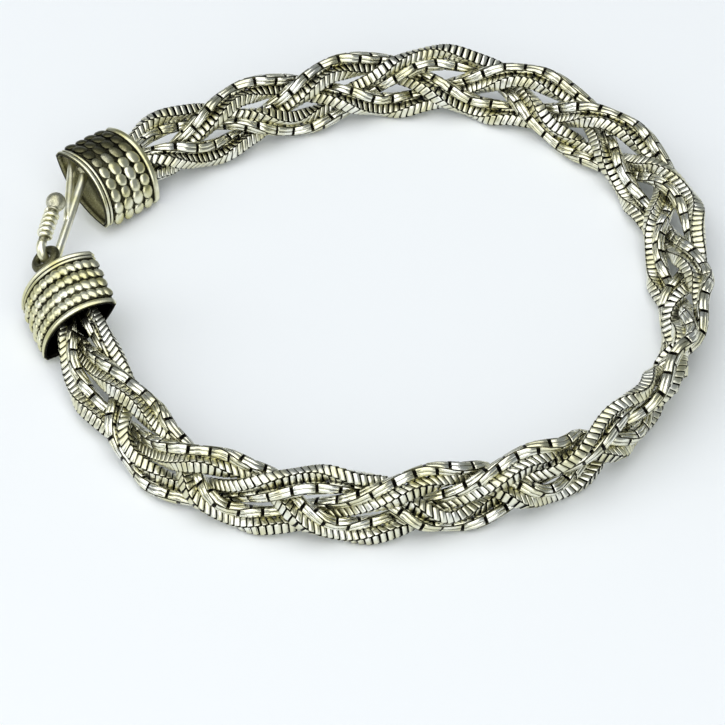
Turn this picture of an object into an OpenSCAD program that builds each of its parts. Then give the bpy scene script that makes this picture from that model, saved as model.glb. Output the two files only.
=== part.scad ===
// Braided bracelet of oxidised silver, lying on a surface. Three strands, each of one snake
// chain and one brick chain, are plaited flat between two end caps that a hook and an eye join.
// Millimetres, +Z up, the surface at z = 0, the middle of the loop above the origin.

/* [Braid] */
// Half of the way that a strand swings from edge to edge
swing = 2.35; // [2.35:0.05:2.5]
// How far a strand rises where it passes over another
lift_over = 0.7; // [0.7:0.02:0.8]
// Second wave of the rise, which keeps the crossing flat
lift_flat = 0.27; // [0.24:0.01:0.3]
// How far a strand rolls over at each crossing, in degrees
strand_roll = 33; // [31:1:35]
// Distance between the two chains of a strand
pair_gap = 1.35; // [1.34:0.01:1.4]
// How far the upper edge runs ahead of the lower edge where the plait is skewed, in crossings
skew_max = 0.12; // [0:0.02:0.12]
// How much narrower the braid is inside the end caps
squeeze = 0.26; // [0.24:0.01:0.3]

/* [Chains] */
// Half of the thickness of one chain
chain_r = 0.57; // [0.5:0.01:0.57]
// Flat sides of a chain's tube
chain_sides = 8; // [8:1:8]
// Rings along one chain
chain_rings = 120; // [110:2:130]

/* [End caps] */
// Width of a cap's oval section
cap_w = 8.6; // [8.6:0.1:9]
// Thickness of a cap's oval section
cap_h = 3.9; // [3.9:0.1:4.2]
// Height of the section's widest part above the middle of its back
cap_waist = 1.4; // [1.3:0.1:1.5]
// Length of a cap along the bracelet
cap_len = 7.2; // [7:0.1:7.5]
// Wall of a cap
cap_wall = 0.35; // [0.3:0.05:0.4]
// Width of the plain rim at each end of a cap
rim_w = 0.75; // [0.6:0.05:0.8]
// How far a rim stands proud of the dome
rim_proud = 0.15; // [0.1:0.05:0.2]
// Raised rows that run round the dome
relief_rows = 4; // [3:1:5]
// Thickness of a raised row
row_r = 0.5; // [0.4:0.02:0.5]
// How far a raised row stands proud of the dome
row_proud = 0.25; // [0.2:0.05:0.25]
// Plate that closes a cap near its clasp end
plate_t = 0.6; // [0.5:0.1:0.8]
// How deep the plate lies inside the clasp end
plate_depth = 1; // [0.9:0.1:1.1]

/* [Hook and eye] */
// Half of the thickness of the hook wire
wire_r = 0.42; // [0.4:0.01:0.44]
// Radius of the hook's bend at the middle of the wire
bend_r = 1.15; // [1.15:0.01:1.2]
// Length of the hook's ribbed return leg
return_len = 4.8; // [4.8:0.1:5.2]
// Radius of the ball at the hook's tip
ball_r = 0.98; // [0.8:0.02:1]
// Turns of the wire wrapped on the return leg
wrap_turns = 5; // [3:1:5]
// Half of the thickness of a wrapped turn
wrap_r = 0.34; // [0.25:0.01:0.34]
// Radius of the eye ring at the middle of its wire
eye_r = 1.12; // [1.12:0.01:1.16]
// Half of the thickness of the eye ring's wire
eye_wire_r = 0.48; // [0.44:0.01:0.48]

/* [Hidden] */
$fn = 48;

// The middle of the braid, one row for each crossing at its upper edge: x, y, height above
// where the braid would rest, and lean of the upper edge towards the middle of the loop.
stations = [
    [-30, -1.4, 1.6, 54],
    [-24.5, -14.9, 0.5, 50],
    [-18, -25.2, 0, 36],
    [-9.5, -29.7, 0, 26],
    [0.5, -30.9, 0, 24],
    [10, -29.2, 0, 18],
    [19, -25.2, 0, 6],
    [26.5, -16.9, 0, -6],
    [29.9, -7.9, 0, -30],
    [30.2, 2.6, 0, -54],
    [28.4, 14.6, 0, -58],
    [21.8, 23.6, 0, -46],
    [13, 29.4, 0, -38],
    [3, 30.4, 0, -34],
    [-6.5, 27.6, 0, -36],
    [-15.5, 23.1, 0.3, -46],
    [-24, 16.6, 1, -60],
    [-27, 7.6, 5.5, -60]
];
last = len(stations) - 1;
half_w = 3.5;
half_t = 1.62;
rise = 0.1;
chain_from = 0.38;
chain_to = 15.95;
narrow_over = 0.45;
skew_from = 5.5;
skew_to = 8;

// A smooth curve through the stations
function station(i) =
    i < 0 ? 2 * stations[0] - stations[1]
    : i > last ? 2 * stations[last] - stations[last - 1]
    : stations[i];
function along(v) =
    let (i = min(max(floor(v), 0), last - 1), f = v - i,
         a = station(i - 1), b = station(i), c = station(i + 1), d = station(i + 2))
    (2 * b + (c - a) * f + (2 * a - 5 * b + 4 * c - d) * f * f
        + (3 * b - a - 3 * c + d) * f * f * f) / 2;
function unit(p) = p / norm(p);
function rest_height(lean) = norm([half_w * cos(lean), half_t * sin(lean)]) + rise;
function middle(v) =
    let (q = along(v)) [q[0], q[1], q[2] + rest_height(q[3])];
function heading(v) = (middle(v + 0.01) - middle(v - 0.01)) / 0.02;

// Frame of the braid at v: middle, direction, direction to the upper edge, outer face, speed
function frame(v) =
    let (t = heading(v), dir = unit(t), side = unit([t[1], -t[0], 0]),
         up = cross(side, dir), lean = along(v)[3])
    [middle(v), dir, up * cos(lean) - side * sin(lean), side * cos(lean) + up * sin(lean),
     norm(t)];
function ease(x) = let (y = min(max(x, 0), 1)) y * y * (3 - 2 * y);
function skew(v) =
    skew_max * min(max(v - chain_from, 0), 1)
    * (1 - min(max((v - skew_from) / (skew_to - skew_from), 0), 1));
function narrowed(v) =
    1 - squeeze * (ease(1 - (v - chain_from) / narrow_over) + ease(1 - (chain_to - v) / narrow_over));

// Middle of one chain of a strand, and the direction across the strand's two chains
function chain_at(v, strand, side) =
    let (phase = 120 * (v + strand) - 90, ahead = skew(v), f = frame(v + ahead * sin(phase)),
         k = narrowed(v), a = k * swing,
         y = a * sin(phase),
         z = k * (lift_over * sin(2 * phase) + lift_flat * sin(4 * phase)),
         turn = 2 * PI / 3,
         slope = [f[4] * (1 + ahead * cos(phase) * turn), a * cos(phase) * turn],
         flat = unit(slope),
         roll = strand_roll * cos(3 * phase),
         over = (f[2] * flat[0] - f[1] * flat[1]) * cos(roll) + f[3] * sin(roll))
    [f[0] + f[2] * y + f[3] * z + over * side * k * pair_gap / 2, over];

// Closed tube swept along a chain
module chain(strand, side) {
    n = chain_sides;
    rings = [for (i = [0 : chain_rings])
        let (v = chain_from + (chain_to - chain_from) * i / chain_rings,
             p = chain_at(v, strand, side),
             dir = unit(chain_at(v + 0.005, strand, side)[0] - chain_at(v - 0.005, strand, side)[0]),
             x = unit(p[1] - dir * (p[1] * dir)),
             y = cross(dir, x), r = chain_r * narrowed(v))
        for (k = [0 : n - 1])
            p[0] + r * (x * cos((k + 0.5) * 360 / n) + y * sin((k + 0.5) * 360 / n))];
    sides = [for (i = [0 : chain_rings - 1], k = [0 : n - 1])
        let (a = i * n + k, b = i * n + (k + 1) % n) each [[a, a + n, b + n], [a, b + n, b]]];
    ends = [[for (k = [0 : n - 1]) k], [for (k = [n - 1 : -1 : 0]) chain_rings * n + k]];
    polyhedron(points = rings, faces = concat(sides, ends), convexity = 12);
}

// Puts children into a frame given by its origin and two directions
module set_frame(origin, x, z) {
    zz = unit(z);
    xx = unit(x - zz * (x * zz));
    yy = cross(zz, xx);
    b = asin(min(max(-xx[2], -1), 1));
    a = atan2(yy[2], zz[2]);
    c = atan2(xx[1], xx[0]);
    translate(origin) rotate([0, 0, c]) rotate([0, b, 0]) rotate([a, 0, 0]) children();
}

// Round rod between two points
module rod(p, q, r) {
    d = q - p;
    side = abs(unit(d)[2]) < 0.9 ? [0, 0, 1] : [1, 0, 0];
    set_frame(p, cross(side, d), d) cylinder(h = norm(d), r = r);
}

// Ring of round wire in the plane across an axis
module wire_ring(origin, axis, r, wire, from = 0, turn = 360, x = [0, 0, 1]) {
    set_frame(origin, x, axis)
        rotate([0, 0, from]) rotate_extrude(angle = turn) translate([r, 0]) circle(r = wire);
}

// One cap in its own frame: x across its oval section, y up the dome, z from the braid to the
// clasp. The section is where two wide arcs and the space between two flat sides meet.
cap_side = 0.5;
half_cap = cap_w / 2;
function arc_r(height) = (half_cap * half_cap + height * height) / (2 * height);
dome_r = arc_r(cap_h - cap_waist - cap_side / 2);
back_r = arc_r(cap_waist - cap_side / 2);
module oval(grow, z0, z1) {
    intersection() {
        translate([0, cap_h - dome_r, z0]) cylinder(h = z1 - z0, r = dome_r + grow, $fn = 96);
        translate([0, back_r, z0 - 1]) cylinder(h = z1 - z0 + 2, r = back_r + grow, $fn = 128);
        translate([-half_cap - grow, -1, z0 - 2]) cube([cap_w + 2 * grow, cap_h + 2, z1 - z0 + 4]);
    }
}
module cap() {
    row_pitch = (cap_len - 2 * rim_w) / relief_rows;
    difference() {
        union() {
            oval(0, 0, cap_len);
            oval(rim_proud, 0, rim_w);
            oval(rim_proud, cap_len - rim_w, cap_len);
            intersection() {
                for (k = [0 : relief_rows - 1])
                    translate([0, cap_h - dome_r, rim_w + (k + 0.5) * row_pitch])
                        rotate_extrude($fn = 96)
                            translate([dome_r - row_r + row_proud, 0]) circle(r = row_r, $fn = 32);
                translate([-half_cap - rim_proud / 2, cap_waist, 0])
                    cube([cap_w + rim_proud, cap_h, cap_len]);
            }
        }
        oval(-cap_wall, -1, cap_len + 1);
    }
    oval(-cap_wall / 2, cap_len - plate_depth - plate_t, cap_len - plate_depth);
}

// Where the braid's middle runs inside a cap, and the two caps' frames
braid_up = 1.95;
eye_mouth = 0.45;
hook_mouth = 15.85;
eye_frame = frame(eye_mouth);
hook_frame = frame(hook_mouth);
eye_x = -eye_frame[2];
eye_y = eye_frame[3];
eye_z = -eye_frame[1];
eye_at = eye_frame[0] - eye_y * braid_up;
hook_x = -hook_frame[2];
hook_y = -hook_frame[3];
hook_z = hook_frame[1];
hook_at = hook_frame[0] - hook_y * braid_up;
function in_eye_cap(p) = eye_at + eye_x * p[0] + eye_y * p[1] + eye_z * p[2];
function in_hook_cap(p) = hook_at + hook_x * p[0] + hook_y * p[1] + hook_z * p[2];

// The hook: the foot of its shank, the way up the shank, the way across to the return leg.
// The stay is the second wire, which leaves the shank part of the way up. Legs, stay and post
// are a little thinner than the rings that they meet.
shank_foot = [-30.2, 3.3, 3];
hook_lean = [-0.55, 0, 0.83];
leg_r = wire_r - 0.03;
stay_r = wire_r - 0.05;
post_r = eye_wire_r - 0.04;
lap = 8;
stay_up = 4.4;
stay_over = 0.1;
into_cap = 1.7;
wrap_from = 0.8;
wrap_end = 1.2;
ball_over = 0.4;
shank_mouth = in_hook_cap([-0.6, 2.6, cap_len]);
stay_mouth = in_hook_cap([-2, 1.8, cap_len]);
post_top = in_eye_cap([0.5, 1.9, cap_len - plate_depth - plate_t / 2]);
shank_dir = unit(shank_mouth - shank_foot);
across = unit(cross(unit(cross(shank_dir, hook_lean)), shank_dir));
stay_foot = shank_foot + shank_dir * stay_up + across * stay_over;
stay_dir = unit(stay_mouth - stay_foot);
bend_at = shank_foot + across * bend_r;
return_foot = bend_at + across * bend_r;
wrap_pitch = (return_len - wrap_from - wrap_end) / (wrap_turns - 1);
eye_ring_at = bend_at - shank_dir * bend_r;

module eye_end_cap() {
    color("silver") {
        set_frame(eye_at, eye_x, eye_z) cap();
        wire_ring(eye_ring_at, across, eye_r, eye_wire_r, x = shank_dir);
        rod(eye_ring_at - shank_dir * eye_r, post_top, post_r);
    }
}
module hook_end_cap() {
    color("silver") {
        set_frame(hook_at, hook_x, hook_z) cap();
        // the doubled shank
        rod(shank_foot, shank_mouth + shank_dir * into_cap, leg_r);
        rod(stay_foot, stay_mouth + stay_dir * into_cap, stay_r);
        // the bend, which laps a little over both legs
        wire_ring(bend_at, cross(across, shank_dir), bend_r, wire_r,
                  from = 180 - lap, turn = 180 + 2 * lap, x = across);
        // the ribbed return leg and the ball at the tip
        rod(return_foot, return_foot + shank_dir * return_len, leg_r);
        for (k = [0 : wrap_turns - 1])
            wire_ring(return_foot + shank_dir * (wrap_from + k * wrap_pitch), shank_dir,
                      wire_r, wrap_r, x = across);
        translate(return_foot + shank_dir * (return_len + ball_over)) sphere(r = ball_r);
    }
}

module snake_chain_1() color("silver") chain(0, -1);
module snake_chain_2() color("silver") chain(1, 1);
module snake_chain_3() color("silver") chain(2, -1);
module brick_chain_1() color("gainsboro") chain(0, 1);
module brick_chain_2() color("gainsboro") chain(1, -1);
module brick_chain_3() color("gainsboro") chain(2, 1);

snake_chain_1();
snake_chain_2();
snake_chain_3();
brick_chain_1();
brick_chain_2();
brick_chain_3();
eye_end_cap();
hook_end_cap();
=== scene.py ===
# %% [markdown]
# # A braided silver bracelet
#
# The real bracelet is a flat plait of three strands. Each strand is a pair of fine silver chains:
# a snake chain, made of small plates that overlap, and a brick chain, made of long links that are
# laid like bricks. The plait ends in two cast caps, and a wire hook on one cap goes through a ring
# on the other. The silver was oxidised black and then polished, so only what stands out is bright.
# The construction model gives the sizes and the box; this script gives the links and the finish.

# %% Load the construction model
import math
import random

import bmesh
import bpy
from mathutils import Matrix, Vector


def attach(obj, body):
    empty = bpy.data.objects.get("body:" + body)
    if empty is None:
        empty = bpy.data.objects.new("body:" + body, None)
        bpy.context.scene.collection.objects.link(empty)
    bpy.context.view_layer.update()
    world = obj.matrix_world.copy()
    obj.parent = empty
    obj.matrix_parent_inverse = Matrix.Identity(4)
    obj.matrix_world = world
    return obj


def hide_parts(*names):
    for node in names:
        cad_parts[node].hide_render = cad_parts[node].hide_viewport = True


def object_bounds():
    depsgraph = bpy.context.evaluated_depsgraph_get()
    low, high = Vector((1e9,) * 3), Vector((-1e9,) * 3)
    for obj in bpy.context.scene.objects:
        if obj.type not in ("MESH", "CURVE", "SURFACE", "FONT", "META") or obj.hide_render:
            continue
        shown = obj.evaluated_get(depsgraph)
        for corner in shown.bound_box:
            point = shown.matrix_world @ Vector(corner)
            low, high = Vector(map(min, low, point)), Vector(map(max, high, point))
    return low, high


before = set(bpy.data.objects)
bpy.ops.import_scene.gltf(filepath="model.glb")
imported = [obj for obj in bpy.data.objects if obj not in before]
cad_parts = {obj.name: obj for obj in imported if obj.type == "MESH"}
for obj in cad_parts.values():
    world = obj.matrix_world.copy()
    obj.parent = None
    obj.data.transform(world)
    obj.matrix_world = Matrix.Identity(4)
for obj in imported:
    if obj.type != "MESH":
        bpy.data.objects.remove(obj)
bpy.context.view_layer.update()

# %% [markdown]
# ## The camera
#
# The photo was taken with a long lens from 43 degrees above the table. The lens is given by its
# focal length in pixels of the photo, which a sensor 36 mm wide turns into millimetres. The
# Standard view keeps white paper white and lets the polished silver burn out, as the photo does.

# %% Place the camera
MM = 0.001
PHOTO_WIDTH = 725
FOCAL_PIXELS = 3780
SENSOR_WIDTH = 36
camera_elevation = math.radians(43)
camera_distance = 360 * MM
aim = Vector((-0.5, -8.4, 0)) * MM

camera_data = bpy.data.cameras.new("camera")
camera_data.sensor_width = SENSOR_WIDTH
camera_data.lens = SENSOR_WIDTH * FOCAL_PIXELS / PHOTO_WIDTH
camera_data.clip_start = 10 * MM
camera = bpy.data.objects.new("camera", camera_data)
towards_camera = Vector((0, -math.cos(camera_elevation), math.sin(camera_elevation)))
camera.location = aim + towards_camera * camera_distance
camera.rotation_euler = (math.radians(90) - camera_elevation, 0, 0)
bpy.context.scene.collection.objects.link(camera)
bpy.context.scene.camera = camera
bpy.context.scene.view_settings.view_transform = "Standard"
print("lens", round(camera_data.lens, 1), "mm")

# %% [markdown]
# ## Colours and nodes
#
# Colours are picked as web colours, which are sRGB, while Blender's nodes work in linear light, so
# one function turns the first into the second. A second function adds a node, sets it up and links
# it, which keeps each material short enough to read.

# %% Colour and node helpers
def linear(web_colour):
    """A web colour such as #c8c4b0 as linear red, green, blue and alpha."""
    parts = [int(web_colour[i:i + 2], 16) / 255 for i in (1, 3, 5)]
    return [c / 12.92 if c <= 0.04045 else ((c + 0.055) / 1.055) ** 2.4 for c in parts] + [1]


def add_node(tree, kind, values=None, links=None, **settings):
    """Adds one node, with its settings, its sockets' values and the links into them."""
    node = tree.nodes.new(kind)
    for name, value in settings.items():
        setattr(node, name, value)
    for socket, value in (values or {}).items():
        node.inputs[socket].default_value = value
    for socket, source in (links or {}).items():
        tree.links.new(source, node.inputs[socket])
    return node


print("grey 50% is", round(linear("#808080")[0], 3), "in linear light")

# %% [markdown]
# ## Oxidised silver
#
# Sterling silver is almost white with a warm cast. The maker blackens it with sulphur and polishes
# it, so the black stays wherever the cloth doesn't reach. Each face of the model carries a number
# from 0 to 1, which says how much polish it gets; on the caps' pads that face one given way it is
# also lowered, as painted shade. The material goes from black oxide through a thin olive film to
# bare silver by that number, broken up by two noises: one of about 2 mm for the uneven tarnish, and
# a fine one for scratches and casting grain, which also gives the bump. The fine grain is really
# under 0.05 mm; it is drawn at 0.12 mm, so that it shows.

# %% The silver material
TARNISH_SIZE = 2.2 * MM
GRAIN_SIZE = 0.12 * MM
GRAIN_HEIGHT = 0.02 * MM
OXIDE = "#0b0a08"
FILM = "#67654a"
SPECKLE = 0.3
FILM_AT = {"From Min": 0.15, "From Max": 0.45}
SILVER_AT = {"From Min": 0.35, "From Max": 0.75}
TARNISH_AT = {"From Min": 0.35, "From Max": 0.65}
OXIDE_ROUGHNESS = 0.42


def oxidised_silver(name, polished, tarnished, roughness, grain=0.25):
    """Silver, bright where a face's number is 1 and black at 0; some pads' numbers hold painted
    shade.
    """
    material = bpy.data.materials.new(name)
    material.use_nodes = True
    tree = material.node_tree
    shader = tree.nodes["Principled BSDF"]
    shader.inputs["Metallic"].default_value = 1
    place = add_node(tree, "ShaderNodeTexCoord").outputs["Object"]
    wear_and_shade = add_node(tree, "ShaderNodeAttribute", attribute_name="wear_and_shade").outputs["Fac"]
    patches = add_node(tree, "ShaderNodeTexNoise", {"Scale": 1 / TARNISH_SIZE, "Detail": 3},
                       {"Vector": place}).outputs["Fac"]
    specks = add_node(tree, "ShaderNodeTexNoise", {"Scale": 1 / GRAIN_SIZE, "Detail": 2},
                      {"Vector": place}).outputs["Fac"]
    # specks of oxide stay on polished faces, and specks of silver show on dark ones
    uneven = add_node(tree, "ShaderNodeMath", {1: SPECKLE, 2: -SPECKLE / 2}, {0: specks},
                      operation="MULTIPLY_ADD").outputs[0]
    worn = add_node(tree, "ShaderNodeMath", links={0: wear_and_shade, 1: uneven}, operation="ADD").outputs[0]
    filmed = add_node(tree, "ShaderNodeMapRange", FILM_AT, {"Value": worn},
                      interpolation_type="SMOOTHSTEP").outputs["Result"]
    bright = add_node(tree, "ShaderNodeMapRange", SILVER_AT, {"Value": worn},
                      interpolation_type="SMOOTHSTEP").outputs["Result"]
    toned = add_node(tree, "ShaderNodeMapRange", TARNISH_AT, {"Value": patches}).outputs["Result"]
    silver = add_node(tree, "ShaderNodeMix", {6: linear(tarnished), 7: linear(polished)},
                      {0: toned}, data_type="RGBA").outputs[2]
    film = add_node(tree, "ShaderNodeMix", {6: linear(OXIDE), 7: linear(FILM)}, {0: filmed},
                    data_type="RGBA").outputs[2]
    colour = add_node(tree, "ShaderNodeMix", links={0: bright, 6: film, 7: silver},
                      data_type="RGBA").outputs[2]
    rough = add_node(tree, "ShaderNodeMapRange", {"To Min": OXIDE_ROUGHNESS, "To Max": roughness},
                     {"Value": bright}).outputs["Result"]
    bump = add_node(tree, "ShaderNodeBump", {"Strength": grain, "Distance": GRAIN_HEIGHT},
                    {"Height": specks}).outputs["Normal"]
    tree.links.new(colour, shader.inputs["Base Color"])
    tree.links.new(rough, shader.inputs["Roughness"])
    tree.links.new(bump, shader.inputs["Normal"])
    return material


snake_silver = oxidised_silver("snake_chain_silver", "#f8f8ec", "#dcd9b4", 0.3)
brick_silver = oxidised_silver("brick_chain_silver", "#fafaf0", "#e0ddba", 0.24)
cast_silver = oxidised_silver("cast_cap_silver", "#f4f3dc", "#ccc892", 0.3, grain=0.5)
wire_silver = oxidised_silver("drawn_wire_silver", "#fbfaec", "#e6e3b8", 0.32, grain=0.1)
print("materials", [m.name for m in (snake_silver, brick_silver, cast_silver, wire_silver)])

# %% [markdown]
# ## The way the plait goes
#
# The chains must lie where the construction model has them, so this cell repeats its route: one row
# for each crossing at the plait's upper edge, with x, y, the height above where the plait would
# rest, and the lean of its upper edge towards the middle of the loop. Sizes are in millimetres.

# %% The route and the plait
STATIONS = [
    (-30, -1.4, 1.6, 54),
    (-24.5, -14.9, 0.5, 50),
    (-18, -25.2, 0, 36),
    (-9.5, -29.7, 0, 26),
    (0.5, -30.9, 0, 24),
    (10, -29.2, 0, 18),
    (19, -25.2, 0, 6),
    (26.5, -16.9, 0, -6),
    (29.9, -7.9, 0, -30),
    (30.2, 2.6, 0, -54),
    (28.4, 14.6, 0, -58),
    (21.8, 23.6, 0, -46),
    (13, 29.4, 0, -38),
    (3, 30.4, 0, -34),
    (-6.5, 27.6, 0, -36),
    (-15.5, 23.1, 0.3, -46),
    (-24, 16.6, 1, -60),
    (-27, 7.6, 5.5, -60),
]
LAST = len(STATIONS) - 1
HALF_WIDTH = 3.5
HALF_THICKNESS = 1.62
RISE = 0.1
SWING = 2.35
LIFT_OVER = 0.7
LIFT_FLAT = 0.27
STRAND_ROLL = math.radians(33)
PAIR_GAP = 1.35
SKEW_MAX = 0.12
SKEW_FROM = 5.5
SKEW_TO = 8
SQUEEZE = 0.26
CHAIN_FROM = 0.38
CHAIN_TO = 15.95
NARROW_OVER = 0.45
NUDGE = 0.01
CROSSING_TURN = 2 * math.pi / 3


def station(i):
    """Row i of the route, carried on in a straight line past both ends."""
    if i < 0:
        return 2 * Vector(STATIONS[0]) - Vector(STATIONS[1])
    if i > LAST:
        return 2 * Vector(STATIONS[LAST]) - Vector(STATIONS[LAST - 1])
    return Vector(STATIONS[i])


def along(v):
    """A smooth curve through the stations: x, y, lift and lean at v."""
    i = min(max(math.floor(v), 0), LAST - 1)
    f = v - i
    a, b, c, d = [station(i + k) for k in (-1, 0, 1, 2)]
    return (2 * b + (c - a) * f + (2 * a - 5 * b + 4 * c - d) * f ** 2
            + (3 * b - a - 3 * c + d) * f ** 3) / 2


def middle(v):
    """Middle of the plait at v."""
    x, y, lift, lean = along(v)
    lean = math.radians(lean)
    rest = math.hypot(HALF_WIDTH * math.cos(lean), HALF_THICKNESS * math.sin(lean)) + RISE
    return Vector((x, y, lift + rest))


def plait_frame(v):
    """Middle, direction, direction to the upper edge, outer face, and speed of the plait at v."""
    travel = (middle(v + NUDGE) - middle(v - NUDGE)) / (2 * NUDGE)
    ahead = travel.normalized()
    side = Vector((travel.y, -travel.x, 0)).normalized()
    up = side.cross(ahead)
    lean = math.radians(along(v)[3])
    to_edge = up * math.cos(lean) - side * math.sin(lean)
    to_face = side * math.cos(lean) + up * math.sin(lean)
    return middle(v), ahead, to_edge, to_face, travel.length


def ease(x):
    """0 below 0, 1 above 1, and smooth between."""
    x = min(max(x, 0), 1)
    return x * x * (3 - 2 * x)


def skew(v):
    """How far the upper edge runs ahead of the lower edge."""
    fade = min(max((v - SKEW_FROM) / (SKEW_TO - SKEW_FROM), 0), 1)
    return SKEW_MAX * min(max(v - CHAIN_FROM, 0), 1) * (1 - fade)


def narrowed(v):
    """The plait's width at v, as a share of its full width: it is drawn together at the caps."""
    ends = ease(1 - (v - CHAIN_FROM) / NARROW_OVER) + ease(1 - (CHAIN_TO - v) / NARROW_OVER)
    return 1 - SQUEEZE * ends


def chain_at(v, strand, side):
    """Middle of one chain of a strand at v, and the direction across the strand's two chains."""
    phase = CROSSING_TURN * (v + strand) - math.pi / 2
    ahead_by = skew(v)
    place, ahead, to_edge, to_face, speed = plait_frame(v + ahead_by * math.sin(phase))
    share = narrowed(v)
    swing = share * SWING
    rise = share * (LIFT_OVER * math.sin(2 * phase) + LIFT_FLAT * math.sin(4 * phase))
    # how fast the strand runs along the plait and across it
    sideways = math.cos(phase) * CROSSING_TURN
    slope = Vector((speed * (1 + ahead_by * sideways), swing * sideways)).normalized()
    roll = STRAND_ROLL * math.cos(3 * phase)
    across = (to_edge * slope.x - ahead * slope.y) * math.cos(roll) + to_face * math.sin(roll)
    place = place + to_edge * swing * math.sin(phase) + to_face * rise
    return place + across * side * share * PAIR_GAP / 2, across


tenths = [middle(k / 10) for k in range(round(CHAIN_FROM * 10), round(CHAIN_TO * 10))]
print("plait length", round(sum((b - a).length for a, b in zip(tenths, tenths[1:])), 1), "mm")

# %% [markdown]
# ## Laying links along a chain
#
# A real chain is hundreds of the same small link. One link is made with box modelling, the spin
# operator repeats it in a straight row, well apart, and then each point is carried from the row to
# its place on the route. The long links of an old chain have taken on its curve, so they bend too.

# %% Helpers for links
CHAIN_SAMPLES = 2400
LINE_STEP = 0.1
ROW_STEP = 4
WELD = 0.001


def chain_line(strand, side):
    """Frames at even steps along a chain: place, direction across, outer direction, and width."""
    span = CHAIN_TO - CHAIN_FROM
    samples = []
    for k in range(CHAIN_SAMPLES + 1):
        v = CHAIN_FROM + span * k / CHAIN_SAMPLES
        samples.append((*chain_at(v, strand, side), narrowed(v)))
    line = []
    travelled = 0
    for before, here in zip(samples, samples[1:]):
        way = here[0] - before[0]
        travelled += way.length
        if travelled >= len(line) * LINE_STEP:
            z = way.normalized()
            x = (here[1] - z * here[1].dot(z)).normalized()
            line.append((here[0], x, z.cross(x), here[2]))
    return line


def bend_along(mesh, line, pitch, start):
    """Carries a row of links, made ROW_STEP apart, to its places along a chain."""
    for vertex in mesh.verts:
        link = round(vertex.co.z / ROW_STEP)
        place = (start + link * pitch + vertex.co.z - link * ROW_STEP) / LINE_STEP
        k = min(max(int(place), 0), len(line) - 2)
        here, after = line[k], line[k + 1]
        share = here[3]
        vertex.co = (here[0].lerp(after[0], place - k)
                     + here[1].lerp(after[1], place - k) * vertex.co.x * share
                     + here[2].lerp(after[2], place - k) * vertex.co.y * share)


def repeat_link(mesh, count):
    """Repeats a link in a straight row along z."""
    bmesh.ops.spin(mesh, geom=mesh.verts[:] + mesh.edges[:] + mesh.faces[:], cent=(0, 0, 0),
                   axis=(0, 0, 1), dvec=(0, 0, ROW_STEP), angle=0, steps=count - 1,
                   use_duplicate=True)


def bevel_edges(mesh, edges, offset, segments):
    """Rounds some edges."""
    bmesh.ops.bevel(mesh, geom=edges, offset=offset, offset_type="OFFSET", segments=segments,
                    profile=0.5, affect="EDGES", material=-1, clamp_overlap=True)


def wear_and_shade_layer(mesh):
    """The layer that holds each face's polish, and painted shade on some pads."""
    return mesh.faces.layers.float.get("wear_and_shade") or mesh.faces.layers.float.new("wear_and_shade")


def join(whole, part):
    """Moves everything in one bmesh into another."""
    holder = bpy.data.meshes.new("part")
    part.to_mesh(holder)
    part.free()
    whole.from_mesh(holder)
    bpy.data.meshes.remove(holder)


def finish_piece(mesh, name, materials, node):
    """Turns a bmesh in millimetres into a piece of the bracelet that replaces a node."""
    bmesh.ops.scale(mesh, vec=(MM, MM, MM), verts=mesh.verts)
    for face in mesh.faces:
        face.smooth = True
    data = bpy.data.meshes.new(name)
    mesh.to_mesh(data)
    mesh.free()
    for material in materials:
        data.materials.append(material)
    piece = bpy.data.objects.new(name, data)
    bpy.context.scene.collection.objects.link(piece)
    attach(piece, "root")
    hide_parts(node)
    print(name, len(data.polygons), "faces")


# %% [markdown]
# ## Square chains
#
# Both chains are square, and both are laid in the same way. A link is a block that shows its two
# bright ends on opposite sides of the chain. The next link, half a step on, shows its ends on the
# other two sides. So each side of the chain is one row of blocks, and the rows of two sides that
# meet at a corner are staggered, as bricks are. A thin film of oxide stays along the blocks, and
# the joints between their ends stay black. A block's width goes from one bright end to the other,
# its waist across them, and its length along the chain. The wear follows the slope of a face: dark
# where the face looks along or round the chain, and bright where it looks out of it.

# %% One link and a whole chain
END_ROUNDING = 0.06
SEAM_FLOOR = 0.88
SEAM_WEAR = 0.48
DARK_SLOPE = 0.25
BRIGHT_SLOPE = 0.7
FIRST_LINK = 0.3


def cut_across(mesh, place, normal):
    """Cuts all faces along a plane."""
    bmesh.ops.bisect_plane(mesh, geom=mesh.verts[:] + mesh.edges[:] + mesh.faces[:],
                           plane_co=place, plane_no=normal)


def link_block(width, waist, length, rounding, seam, flank_wear, quarter):
    """One block, as wide as the chain and bright at both ends of x, or of y if turned by 90."""
    mesh = bmesh.new()
    bmesh.ops.create_cube(mesh, size=1)
    bmesh.ops.scale(mesh, vec=(width, waist, length), verts=mesh.verts)
    long_edges = [edge for edge in mesh.edges
                  if abs(edge.verts[0].co.z - edge.verts[1].co.z) > length / 2]
    bevel_edges(mesh, long_edges, rounding, 2)
    ends = [edge for edge in mesh.edges
            if abs(edge.verts[0].co.z + edge.verts[1].co.z) > length * 0.99]
    bevel_edges(mesh, ends, END_ROUNDING, 1)
    if seam:
        # a long link bends in its middle, and has a seam down each bright end
        cut_across(mesh, (0, 0, 0), (0, 0, 1))
        for y in (-seam / 2, 0, seam / 2):
            cut_across(mesh, (0, y, 0), (0, 1, 0))
        valley = [vertex for vertex in mesh.verts if abs(vertex.co.y) < seam / 4]
        bmesh.ops.scale(mesh, vec=(SEAM_FLOOR, 1, 1), verts=valley)
    wear_and_shade = wear_and_shade_layer(mesh)
    for face in mesh.faces:
        worn = ease((abs(face.normal.x) - DARK_SLOPE) / (BRIGHT_SLOPE - DARK_SLOPE))
        in_seam = abs(face.calc_center_median().y) < seam / 2
        face[wear_and_shade] = SEAM_WEAR if in_seam else worn + (1 - worn) * flank_wear
    bmesh.ops.rotate(mesh, verts=mesh.verts, cent=(0, 0, 0),
                     matrix=Matrix.Rotation(math.radians(90 * quarter), 3, "Z"))
    return mesh


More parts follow.
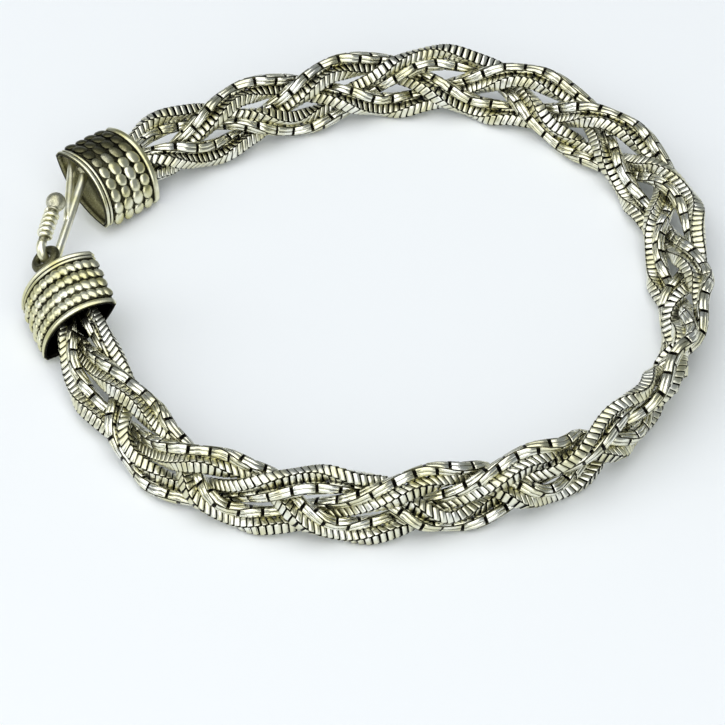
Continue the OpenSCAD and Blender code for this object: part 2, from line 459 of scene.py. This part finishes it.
def square_chain(strand, side, pitch, sizes, roll, tip=0, slant=0):
    """A whole chain: blocks that are bright in x, and half a step on, blocks bright in y."""
    line = chain_line(strand, side)
    count = int(len(line) * LINE_STEP / pitch)
    slanted = Matrix(((1, 0, 0), (0, 1, 0), (-math.tan(math.radians(slant)), 0, 1)))
    whole = bmesh.new()
    for quarter in (0, 1):
        block = link_block(**sizes, quarter=quarter)
        bmesh.ops.transform(block, verts=block.verts,
                            matrix=(Matrix.Rotation(math.radians(roll), 3, "Z")
                                    @ Matrix.Rotation(math.radians(tip), 3, "Y")
                                    @ slanted).to_4x4())
        repeat_link(block, count)
        bend_along(block, line, pitch, (FIRST_LINK + quarter / 2) * pitch)
        join(whole, block)
    return whole


# each strand's number, and the side of its snake chain; the brick chain is on the other side
STRANDS = ((0, -1), (1, 1), (2, -1))
print("strands", len(STRANDS))

# %% [markdown]
# ## Brick chains
#
# The links of a brick chain are almost twice as long as the chain is wide. They are drawn from
# thick sheet, so their bright ends are slightly domed and catch long streaks of light. The sheet's
# edges meet in a fine seam, which runs down the middle of each bright end.

# %% Make the brick chains
BRICK_PITCH = 2.15
BRICK_SIZES = {"width": 1.16, "waist": 0.98, "length": 1.87, "rounding": 0.26, "seam": 0.08,
               "flank_wear": 0.08}
BRICK_ROLL = 8

for number, (strand, snake_side) in enumerate(STRANDS, 1):
    bricks = square_chain(strand, -snake_side, BRICK_PITCH, BRICK_SIZES, BRICK_ROLL)
    finish_piece(bricks, f"bricks_{number}", [brick_silver],
                 f"brick_chain_{number}")

# %% [markdown]
# ## Snake chains
#
# The links of a snake chain are thin plates that are tipped like fallen dominoes. On two sides of
# the chain their edges are slanted lines, and on the other two they lie like small tiles, whose
# edges stand out as teeth.

# %% Make the snake chains
PLATE_PITCH = 0.64
PLATE_SIZES = {"width": 1.28, "waist": 1.12, "length": 0.5, "rounding": 0.15, "seam": 0,
               "flank_wear": 0.05}
SNAKE_ROLL = -42
PLATE_TIP = 13
PLATE_SLANT = 11

for number, (strand, snake_side) in enumerate(STRANDS, 1):
    plates = square_chain(strand, snake_side, PLATE_PITCH, PLATE_SIZES, SNAKE_ROLL, PLATE_TIP,
                          PLATE_SLANT)
    finish_piece(plates, f"plates_{number}", [snake_silver],
                 f"snake_chain_{number}")

# %% [markdown]
# ## End caps
#
# Each end cap is a short oval tube of cast silver, with a domed front and a flatter back. The
# outline is drawn with operators: one point is spun over the dome, carried down the side, spun
# back under, and the two ends are merged. The ring of edges is then pulled along the cap, ring
# after ring, in and out, to make the mouth, the rims, the grooves, the wall and the plate inside.

# %% The oval outline
CAP_WIDTH = 8.6
CAP_HEIGHT = 3.9
CAP_WAIST = 1.4
CAP_SIDE = 0.5
CAP_LENGTH = 7.2
PLATE_FAR = 6.2
PLATE_NEAR = 5.6
DOME_STEPS = 48
BACK_STEPS = 32
HALF_CAP = CAP_WIDTH / 2
CAP_MIDDLE = Vector((0, CAP_HEIGHT / 2, 0))


def arc_radius(height):
    """Radius of an arc as wide as the cap that rises by this height."""
    return (HALF_CAP ** 2 + height ** 2) / (2 * height)


DOME_RADIUS = arc_radius(CAP_HEIGHT - CAP_WAIST - CAP_SIDE / 2)
BACK_RADIUS = arc_radius(CAP_WAIST - CAP_SIDE / 2)
DOME_CENTRE = Vector((0, CAP_HEIGHT - DOME_RADIUS, 0))
BACK_CENTRE = Vector((0, BACK_RADIUS, 0))
DOME_TURN = 2 * math.asin(HALF_CAP / DOME_RADIUS)
BACK_TURN = 2 * math.asin(HALF_CAP / BACK_RADIUS)


def swing_point(mesh, point, centre, turn, steps):
    """Spins a point into an arc about z, and returns its last point."""
    arc = bmesh.ops.spin(mesh, geom=[point], cent=centre, axis=(0, 0, 1), angle=turn, steps=steps)
    return next(part for part in arc["geom_last"] if isinstance(part, bmesh.types.BMVert))


def drop_point(mesh, point, step):
    """Extrudes a point by a step, and returns the new point."""
    moved = bmesh.ops.extrude_vert_indiv(mesh, verts=[point])["verts"]
    bmesh.ops.translate(mesh, verts=moved, vec=step)
    return moved[0]


def oval_outline(mesh):
    """The cap's section as a closed ring of edges at z = 0."""
    side = Vector((0, CAP_SIDE, 0))
    point = mesh.verts.new((HALF_CAP, CAP_WAIST + CAP_SIDE / 2, 0))
    point = swing_point(mesh, point, DOME_CENTRE, DOME_TURN, DOME_STEPS)
    point = drop_point(mesh, drop_point(mesh, point, -side / 2), -side / 2)
    point = swing_point(mesh, point, BACK_CENTRE, BACK_TURN, BACK_STEPS)
    drop_point(mesh, drop_point(mesh, point, side / 2), side / 2)
    bmesh.ops.remove_doubles(mesh, verts=mesh.verts, dist=WELD)
    return mesh.edges[:]


def pull_ring(mesh, ring, here, there):
    """Extrudes a ring of edges from one (place along the cap, growth) to the next."""
    geometry = bmesh.ops.extrude_edge_only(mesh, edges=ring)["geom"]
    points = [part for part in geometry if isinstance(part, bmesh.types.BMVert)]
    moved = set(points)
    scales = [(size / 2 + there[1]) / (size / 2 + here[1]) for size in (CAP_WIDTH, CAP_HEIGHT)]
    bmesh.ops.scale(mesh, vec=(*scales, 1), verts=points, space=Matrix.Translation(-CAP_MIDDLE))
    bmesh.ops.translate(mesh, verts=points, vec=(0, 0, there[0] - here[0]))
    return [part for part in geometry if isinstance(part, bmesh.types.BMEdge)
            and part.verts[0] in moved and part.verts[1] in moved]


outline = bmesh.new()
print("outline of", len(oval_outline(outline)), "edges")
outline.free()

# %% [markdown]
# ## The cap's wall
#
# The profile below is a list of places along the cap with how far the wall stands out there, like
# the template of a lathe. It starts on the plate, runs down the inside to the mouth that takes the
# plait, turns round a smooth rim, climbs the outside with a groove at each band, and ends in two
# thin rims at the clasp end. Grooves and the mouth stay black, the inside of the clasp end keeps an
# olive film, the wrist rubs the back to a satin, and the rims that stand out are bright.

# %% Pull the wall
CAP_PROFILE = [
    (PLATE_NEAR, -0.35), (0.3, -0.35), (0.07, -0.3), (0, -0.18), (0, 0), (0.05, 0.1), (0.16, 0.16),
    (0.4, 0.18), (0.58, 0.14), (0.66, 0.04), (0.7, -0.1), (0.82, -0.1), (0.86, 0), (3.6, 0.02),
    (6.12, 0), (6.16, -0.1), (6.26, -0.1), (6.3, 0.04), (6.37, 0.13), (6.5, 0.14), (6.58, 0.06),
    (6.61, -0.08), (6.7, -0.08), (6.73, 0.06), (6.8, 0.14), (6.98, 0.18), (7.13, 0.12),
    (7.2, -0.02), (7.2, -0.18), (7.12, -0.32), (6.9, -0.35), (PLATE_FAR, -0.35),
]
RIM_WEAR = 0.95
WALL_WEAR = 0.25
BACK_WEAR = 0.62
INNER_WEAR = 0.4
RIM_FROM = 0.02
RIM_TO = 0.12
GROOVE_FROM = -0.08
GROOVE_TO = -0.02
BACK_SLOPE = -0.5
INSIDE_SLOPE = -0.1
FLAT_SLOPE = 0.98
PLATE_DEPTH = 0.3


def cap_wall():
    """The shell of a cap, closed by the plate inside it."""
    mesh = bmesh.new()
    ring = oval_outline(mesh)
    start = CAP_PROFILE[0]
    scales = [(size / 2 + start[1]) / (size / 2) for size in (CAP_WIDTH, CAP_HEIGHT)]
    bmesh.ops.scale(mesh, vec=(*scales, 1), verts=mesh.verts,
                    space=Matrix.Translation(-CAP_MIDDLE))
    bmesh.ops.translate(mesh, verts=mesh.verts, vec=(0, 0, start[0]))
    bmesh.ops.edgeloop_fill(mesh, edges=ring)
    for here, there in zip(CAP_PROFILE, CAP_PROFILE[1:]):
        ring = pull_ring(mesh, ring, here, there)
    bmesh.ops.edgeloop_fill(mesh, edges=ring)
    bmesh.ops.recalc_face_normals(mesh, faces=mesh.faces)
    return mesh


def polish_wall(mesh):
    """Wear of the wall: outside by how far a face stands out, inside by which end it is near."""
    wear_and_shade = wear_and_shade_layer(mesh)
    for face in mesh.faces:
        centre = face.calc_center_median()
        from_middle = centre - CAP_MIDDLE
        outwards = face.normal.x * from_middle.x + face.normal.y * from_middle.y
        to_end = min(centre.z, CAP_LENGTH - centre.z)
        on_plate = abs(face.normal.z) > FLAT_SLOPE and to_end > PLATE_DEPTH
        if outwards < INSIDE_SLOPE or on_plate:
            face[wear_and_shade] = 0 if centre.z < CAP_LENGTH / 2 else INNER_WEAR
        else:
            on_dome = (centre - DOME_CENTRE).to_2d().length - DOME_RADIUS
            on_back = (centre - BACK_CENTRE).to_2d().length - BACK_RADIUS
            out = max(on_dome, on_back, abs(centre.x) - HALF_CAP)
            on_rim = ease((out - RIM_FROM) / (RIM_TO - RIM_FROM))
            no_groove = ease((out - GROOVE_FROM) / (GROOVE_TO - GROOVE_FROM))
            on_wall = BACK_WEAR if face.normal.y < BACK_SLOPE else WALL_WEAR
            face[wear_and_shade] = on_rim * RIM_WEAR + (1 - on_rim) * on_wall * no_groove


wall = cap_wall()
polish_wall(wall)
print("cap wall", len(wall.faces), "faces, closed", all(edge.is_manifold for edge in wall.edges))
wall.free()

# %% [markdown]
# ## Rows of pads
#
# Between the rims, four rows of small soft pads run over the dome, like twisted cords laid side by
# side. The cast is coarse, so no two pads are quite the same size or turned the same way. A pad is
# a ball pressed flat, and each one gets its own random size and turn from a seeded generator. The
# length and width are shares of the pitches along and between the rows, and the height is in mm.

# %% Pads over the dome
ROW_COUNT = 4
ROW_FROM = 0.86
ROW_TO = 6.12
ROW_SHIFTS = (-0.2, 0.2)
PAD_LENGTH = 0.66
PAD_WIDTH = 0.54
PAD_HEIGHT = 0.3
PAD_LENGTHS = (0.85, 1.15)
PAD_WIDTHS = (0.85, 1.05)
PAD_HEIGHTS = (0.75, 1.2)
PAD_TURNS = (-9, 9)
PAD_SINK = 0.04
PAD_SUBDIVISIONS = 2
PAINTED_SHADE_DEPTH = 0.66
PAINTED_SHADE_FROM = 0.3
PAINTED_SHADE_TO = 0.8
PAD_FOOT_WEAR = 0.1
FOOT_SLOPE = 0.05
TOP_SLOPE = 0.65


def pads(pitch, seed, slant, shade_way):
    """The rows of pads of one cap; pads that face the shade way get painted shade."""
    chance = random.Random(seed)
    mesh = bmesh.new()
    wear_and_shade = wear_and_shade_layer(mesh)
    row_pitch = (ROW_TO - ROW_FROM) / ROW_COUNT
    half_turn = DOME_TURN / 2
    count = round(DOME_TURN * DOME_RADIUS / pitch)
    for row in range(ROW_COUNT):
        z = ROW_FROM + (row + 0.5) * row_pitch
        shift = chance.uniform(*ROW_SHIFTS)
        for k in range(count + 1):
            angle = half_turn * (2 * (k + shift) / count - 1)
            angle = min(max(angle, -half_turn), half_turn)
            # the pad's own x runs along the row, y along the cap, and z stands out of the dome
            out = Vector((math.sin(angle), math.cos(angle), 0))
            # pads that face the shade way get painted shade: their polish number is lowered
            painted_shade = ease((out.dot(shade_way) - PAINTED_SHADE_FROM) / (PAINTED_SHADE_TO - PAINTED_SHADE_FROM))
            unshaded_share = 1 - PAINTED_SHADE_DEPTH * painted_shade
            points = bmesh.ops.create_icosphere(mesh, subdivisions=PAD_SUBDIVISIONS,
                                                radius=1)["verts"]
            faces = {face for point in points for face in point.link_faces}
            for face in faces:
                on_top = ease((face.normal.z - FOOT_SLOPE) / (TOP_SLOPE - FOOT_SLOPE))
                face[wear_and_shade] = unshaded_share * (PAD_FOOT_WEAR + (1 - PAD_FOOT_WEAR) * on_top)
            size = (PAD_LENGTH * pitch * chance.uniform(*PAD_LENGTHS),
                    PAD_WIDTH * row_pitch * chance.uniform(*PAD_WIDTHS),
                    PAD_HEIGHT * chance.uniform(*PAD_HEIGHTS))
            lean = Matrix.Rotation(math.radians(slant + chance.uniform(*PAD_TURNS)), 4, "Z")
            turn = Matrix((Vector((out.y, -out.x, 0)), Vector((0, 0, -1)), out)).transposed()
            place = DOME_CENTRE + out * (DOME_RADIUS - PAD_SINK) + Vector((0, 0, z))
            bmesh.ops.transform(mesh, verts=points, matrix=Matrix.Translation(place)
                                @ turn.to_4x4() @ lean @ Matrix.Diagonal((*size, 1)))
    return mesh


test_pads = pads(1.1, 1, 0, Vector((0, 0, 1)))
print("pads", len(test_pads.faces), "faces")
test_pads.free()

# %% [markdown]
# ## Where the caps sit
#
# A cap's own axes are x across the oval, y up the dome and z from the plait to the clasp. The
# plait's own frame near its two ends gives these axes, so the caps follow the plait.

# %% The caps' places
EYE_MOUTH = 0.45
HOOK_MOUTH = 15.85
BRAID_UP = 1.95


def cap_place(v, forward, seat):
    """Matrix of a cap: x against the plait's edge, y outwards or inwards, z away from the plait."""
    place, ahead, to_edge, to_face, _ = plait_frame(v)
    x, y, z = -to_edge, to_face * seat, ahead * forward
    return Matrix.Translation(place - y * BRAID_UP) @ Matrix((x, y, z)).transposed().to_4x4()


eye_place = cap_place(EYE_MOUTH, -1, 1)
hook_place = cap_place(HOOK_MOUTH, 1, -1)
print("caps at", [round(x, 1) for x in eye_place.translation],
      [round(x, 1) for x in hook_place.translation])

# %% [markdown]
# ## Wire parts
#
# The hook is bent from round wire. Its shank is double, the bend turns back through the ring of
# the other cap, and the return leg is wrapped with finer wire and ends in a ball. A rod, the ball
# and a drop of solder are half outlines that are spun into solids, a bend is a circle that is spun,
# and the wrap is a circle that climbs as it is spun.

# %% Helpers for wire
ROD_END = [(0, 0), (0.7, 0.03), (1, 0.12)]
ROD_PARTS = 8
ROUND_STEPS = 20
BEND_STEPS = 24
WIRE_SIDES = 16


def set_down(origin, x, z):
    """Matrix of a frame with its origin, z along one direction and x near another."""
    z = z.normalized()
    x = (x - z * x.dot(z)).normalized()
    return Matrix.Translation(origin) @ Matrix((x, z.cross(x), z)).transposed().to_4x4()


def turned(profile, place, steps=ROUND_STEPS):
    """A solid of revolution: a profile of (radius, height) spun about z, then set down."""
    mesh = bmesh.new()
    points = [mesh.verts.new((radius, 0, height)) for radius, height in profile]
    edges = [mesh.edges.new(pair) for pair in zip(points, points[1:])]
    bmesh.ops.spin(mesh, geom=points + edges, cent=(0, 0, 0), axis=(0, 0, 1),
                   angle=math.radians(360), steps=steps, use_merge=True)
    bmesh.ops.remove_doubles(mesh, verts=mesh.verts, dist=WELD / 2)
    bmesh.ops.recalc_face_normals(mesh, faces=mesh.faces)
    bmesh.ops.transform(mesh, verts=mesh.verts, matrix=place)
    return mesh


def rod(start, end, radius):
    """A round rod with rounded ends."""
    length = (end - start).length
    side = Vector((0, 0, 1)) if abs((end - start).normalized().z) < 0.9 else Vector((1, 0, 0))
    profile = [(radius * share, height) for share, height in ROD_END]
    profile += [(radius, length * k / ROD_PARTS) for k in range(1, ROD_PARTS)]
    profile += [(radius * share, length - height) for share, height in reversed(ROD_END)]
    return turned(profile, set_down(start, side, end - start))


def bent_wire(centre, x, axis, bend_radius, wire, start, turn, climb=0, steps=BEND_STEPS):
    """Round wire bent about an axis, from an angle after x; it may climb along the axis."""
    mesh = bmesh.new()
    bmesh.ops.create_circle(mesh, segments=WIRE_SIDES, radius=wire, cap_ends=False,
                            matrix=Matrix.Translation((bend_radius, 0, 0))
                            @ Matrix.Rotation(math.radians(90), 4, "X"))
    full = abs(turn - 360) < 0.01 and not climb
    bmesh.ops.spin(mesh, geom=mesh.verts[:] + mesh.edges[:], cent=(0, 0, 0), axis=(0, 0, 1),
                   dvec=(0, 0, climb / steps), angle=math.radians(turn), steps=steps,
                   use_merge=full)
    if not full:
        bmesh.ops.holes_fill(mesh, edges=mesh.edges, sides=WIRE_SIDES)
    bmesh.ops.recalc_face_normals(mesh, faces=mesh.faces)
    bmesh.ops.transform(mesh, verts=mesh.verts, matrix=set_down(centre, x, axis)
                        @ Matrix.Rotation(math.radians(start), 4, "Z"))
    return mesh


sample = rod(Vector(), Vector((0, 0, 5)), 0.4)
print("rod of", len(sample.faces), "faces, closed", all(edge.is_manifold for edge in sample.edges))
sample.free()

# %% [markdown]
# ## The hook cap
#
# The places of the hook come from the construction model: the foot of its shank, the direction up
# the shank into the cap, and the direction across to the return leg.

# %% Places of the hook
WIRE = 0.47
BEND = 1.15
RETURN_LENGTH = 4.8
STAY_UP = 4.4
STAY_OVER = 0.1
INTO_CAP = 1.7
RETURN_SIDE = Vector((-0.55, 0, 0.83))
shank_foot = Vector((-30.2, 3.3, 3))
shank_mouth = hook_place @ Vector((-0.6, 2.6, CAP_LENGTH))
stay_mouth = hook_place @ Vector((-2, 1.8, CAP_LENGTH))
shank_way = (shank_mouth - shank_foot).normalized()
across_way = shank_way.cross(RETURN_SIDE).normalized().cross(shank_way).normalized()
stay_foot = shank_foot + shank_way * STAY_UP + across_way * STAY_OVER
stay_way = (stay_mouth - stay_foot).normalized()
bend_at = shank_foot + across_way * BEND
return_foot = bend_at + across_way * BEND
print("hook from", [round(x, 1) for x in shank_mouth], "to", [round(x, 1) for x in return_foot])

# %% [markdown]
# ## Building the hook cap
#
# Everything on this cap is soldered together, so it becomes one piece. The wire parts get their
# wear straight: high on the wire, and about half on the ball, the solder and the core between the
# wraps. Both legs and the stay are a little thinner than the bend, which laps over the legs' ends.

# %% Make the hook cap
SHANK_WIRE = WIRE - 0.02
LEG_WIRE = WIRE - 0.04
BEND_LAP = 4
WRAP_WIRE = 0.26
WRAP_RADIUS = WIRE + 0.08
WRAP_TURNS = 5
WRAP_FROM = 0.75
WRAP_TO = 3.9
BALL_OVER = 0.4
BALL_STEPS = 32
WIRE_WEAR = 0.95
BEND_WEAR = 0.9
CORE_WEAR = 0.45
BALL_WEAR = 0.55
SOLDER_WEAR = 0.5
BALL_PROFILE = [(0, -1.2), (0.5, -1.2), (0.62, -1.12), (0.62, -0.98), (0.5, -0.9), (0.62, -0.78),
                (0.82, -0.54), (0.94, -0.28), (0.98, 0), (0.94, 0.28), (0.82, 0.54), (0.62, 0.76),
                (0.36, 0.91), (0, 0.98)]
COLLAR_PROFILE = [(0, -0.05), (0.85, -0.05), (0.82, 0.05), (0.62, 0.16), (0.5, 0.34), (0.44, 0.5),
                  (0, 0.5)]


def add_worn(whole, part, amount):
    """Adds a wire part, which has the same wear all over and the second material."""
    wear_and_shade = wear_and_shade_layer(part)
    for face in part.faces:
        face[wear_and_shade] = amount
        face.material_index = 1
    join(whole, part)


def cap_with_pads(place, pitch, seed, slant, shade_way):
    """A cap with its pads in place; pads that face the shade way in the room get painted shade."""
    whole = cap_wall()
    polish_wall(whole)
    join(whole, pads(pitch, seed, slant, place.to_3x3().inverted() @ Vector(shade_way)))
    bmesh.ops.transform(whole, verts=whole.verts, matrix=place)
    return whole


# the pads that face up on this cap get painted shade
hook_cap = cap_with_pads(hook_place, pitch=1.2, seed=7, slant=14, shade_way=(-0.3, 0.45, 0.84))
solder_at = shank_mouth + shank_way * (CAP_LENGTH - PLATE_FAR)
ball_at = return_foot + shank_way * (RETURN_LENGTH + BALL_OVER)
add_worn(hook_cap, rod(shank_foot, shank_mouth + shank_way * INTO_CAP, SHANK_WIRE), WIRE_WEAR)
add_worn(hook_cap, rod(stay_foot, stay_mouth + stay_way * INTO_CAP, LEG_WIRE), WIRE_WEAR)
add_worn(hook_cap, turned(COLLAR_PROFILE, set_down(solder_at, across_way, -shank_way)),
         SOLDER_WEAR)
add_worn(hook_cap, bent_wire(bend_at, across_way, across_way.cross(shank_way), BEND, WIRE,
                             180 - BEND_LAP, 180 + 2 * BEND_LAP), BEND_WEAR)
add_worn(hook_cap, rod(return_foot, return_foot + shank_way * RETURN_LENGTH, LEG_WIRE), CORE_WEAR)
add_worn(hook_cap, bent_wire(return_foot + shank_way * WRAP_FROM, across_way, shank_way,
                             WRAP_RADIUS, WRAP_WIRE, 0, 360 * WRAP_TURNS, WRAP_TO - WRAP_FROM,
                             BEND_STEPS * WRAP_TURNS), WIRE_WEAR)
add_worn(hook_cap, turned(BALL_PROFILE, set_down(ball_at, across_way, shank_way), BALL_STEPS),
         BALL_WEAR)
finish_piece(hook_cap, "hook_cap", [cast_silver, wire_silver], "hook_end_cap")

# %% [markdown]
# ## The eye cap
#
# The other cap holds a ring of thicker wire. A short post joins the ring to the plate inside the
# cap, with a drop of solder where they meet.

# %% Make the eye cap
EYE_RADIUS = 1.12
EYE_WIRE = 0.48
EYE_STEPS = 40
POST_WIRE = EYE_WIRE - 0.04
POST_SPOT = (0.5, 1.9)
EYE_WEAR = 0.36
EYE_SOLDER_WEAR = 0.3
eye_at = bend_at - shank_way * BEND
post_top = eye_place @ Vector((*POST_SPOT, (PLATE_FAR + PLATE_NEAR) / 2))
post_foot = eye_at - shank_way * EYE_RADIUS
post_way = (post_top - post_foot).normalized()
solder_at = eye_place @ Vector((*POST_SPOT, PLATE_FAR))

# the pads on the right flank of this cap get painted shade
eye_cap = cap_with_pads(eye_place, pitch=0.8, seed=3, slant=28, shade_way=(0.9, 0.2, 0.3))
add_worn(eye_cap, bent_wire(eye_at, shank_way, across_way, EYE_RADIUS, EYE_WIRE, 0, 360,
                            steps=EYE_STEPS), EYE_WEAR)
add_worn(eye_cap, rod(post_foot, post_top, POST_WIRE), EYE_WEAR)
add_worn(eye_cap, turned(COLLAR_PROFILE, set_down(solder_at, across_way, -post_way)),
         EYE_SOLDER_WEAR)
finish_piece(eye_cap, "eye_cap", [cast_silver, wire_silver], "eye_end_cap")

# %% [markdown]
# ## Floor and light
#
# The photo has a white table under soft light. The silver is a mirror, so what it reflects matters
# more than what falls on it: a bright box overhead and one behind the camera, which make the white
# faces, the white table below, and a dim room behind, which makes the dark ones. The links' lowest
# corners reach a little below the construction model, and the floor lies under them.

# %% Make the floor, the room and the lights
FLOOR_HALF = 2
PAPER = "#f3f6f8"
PAPER_ROUGHNESS = 0.9
ROOM = "#c4cbd0"
ROOM_STRENGTH = 0.42
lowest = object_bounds()[0][2]
floor_mesh = bmesh.new()
bmesh.ops.create_grid(floor_mesh, x_segments=1, y_segments=1, size=FLOOR_HALF,
                      matrix=Matrix.Translation((0, 0, min(lowest, 0))))
floor_data = bpy.data.meshes.new("floor")
floor_mesh.to_mesh(floor_data)
floor_mesh.free()
floor = bpy.data.objects.new("floor", floor_data)
bpy.context.scene.collection.objects.link(floor)
paper = bpy.data.materials.new("white_paper")
paper.use_nodes = True
paper_shader = paper.node_tree.nodes["Principled BSDF"]
paper_shader.inputs["Base Color"].default_value = linear(PAPER)
paper_shader.inputs["Roughness"].default_value = PAPER_ROUGHNESS
floor_data.materials.append(paper)

world = bpy.data.worlds.new("room")
world.use_nodes = True
background = world.node_tree.nodes["Background"]
background.inputs["Color"].default_value = linear(ROOM)
background.inputs["Strength"].default_value = ROOM_STRENGTH
bpy.context.scene.world = world


def softbox(name, place, size, power):
    """A square white area light that points at the bracelet. Metres and watts."""
    data = bpy.data.lights.new(name, "AREA")
    data.size = size
    data.energy = power
    light = bpy.data.objects.new(name, data)
    light.location = place
    light.rotation_euler = (-Vector(place)).to_track_quat("-Z", "Y").to_euler()
    bpy.context.scene.collection.objects.link(light)


softbox("overhead", (-0.15, 0, 0.8), 1, 4.4)
softbox("behind_camera", (0.1, -0.85, 0.6), 1.2, 6.5)
softbox("left", (-0.8, -0.15, 0.4), 0.6, 2)
print("lights", [light.name for light in bpy.data.lights], "floor at", round(lowest / MM, 2), "mm")
